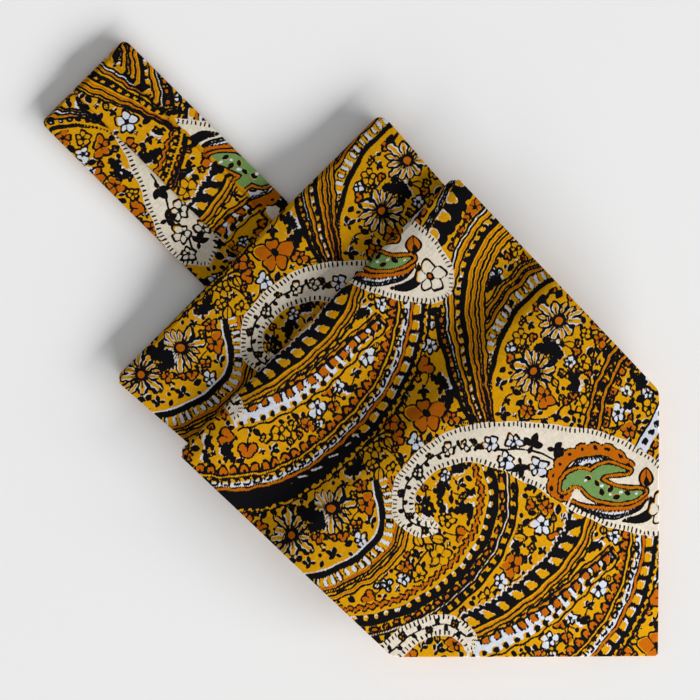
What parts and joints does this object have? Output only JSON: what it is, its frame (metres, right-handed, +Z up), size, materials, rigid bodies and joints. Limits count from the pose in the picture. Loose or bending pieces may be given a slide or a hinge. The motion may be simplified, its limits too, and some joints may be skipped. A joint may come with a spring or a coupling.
{
  "type": "ascot scarf folded flat",
  "caption": "Printed cotton ascot scarf folded flat, with a pleated neckband and two wide pointed blades.",
  "frame": {"origin": "on the surface that the scarf lies on, under the centre of its bounding box", "axes": "+Z up, out of the surface; +Y along the scarf towards the neckband's folded end; -Y towards the blade's point; +X across the scarf"},
  "size_m": [0.1602, 0.3324, 0.0238],
  "materials": {
    "neckband_cotton": "matte printed cotton",
    "second_blade_cotton": "matte printed cotton",
    "front_blade_cotton": "matte printed cotton",
    "hidden_cotton": "matte printed cotton"
  },
  "bodies": {
    "root": {"neckband": "neckband_cotton", "second_blade": "second_blade_cotton", "front_blade": "front_blade_cotton", "hidden_layers": "hidden_cotton"}
  },
  "joints": []
}
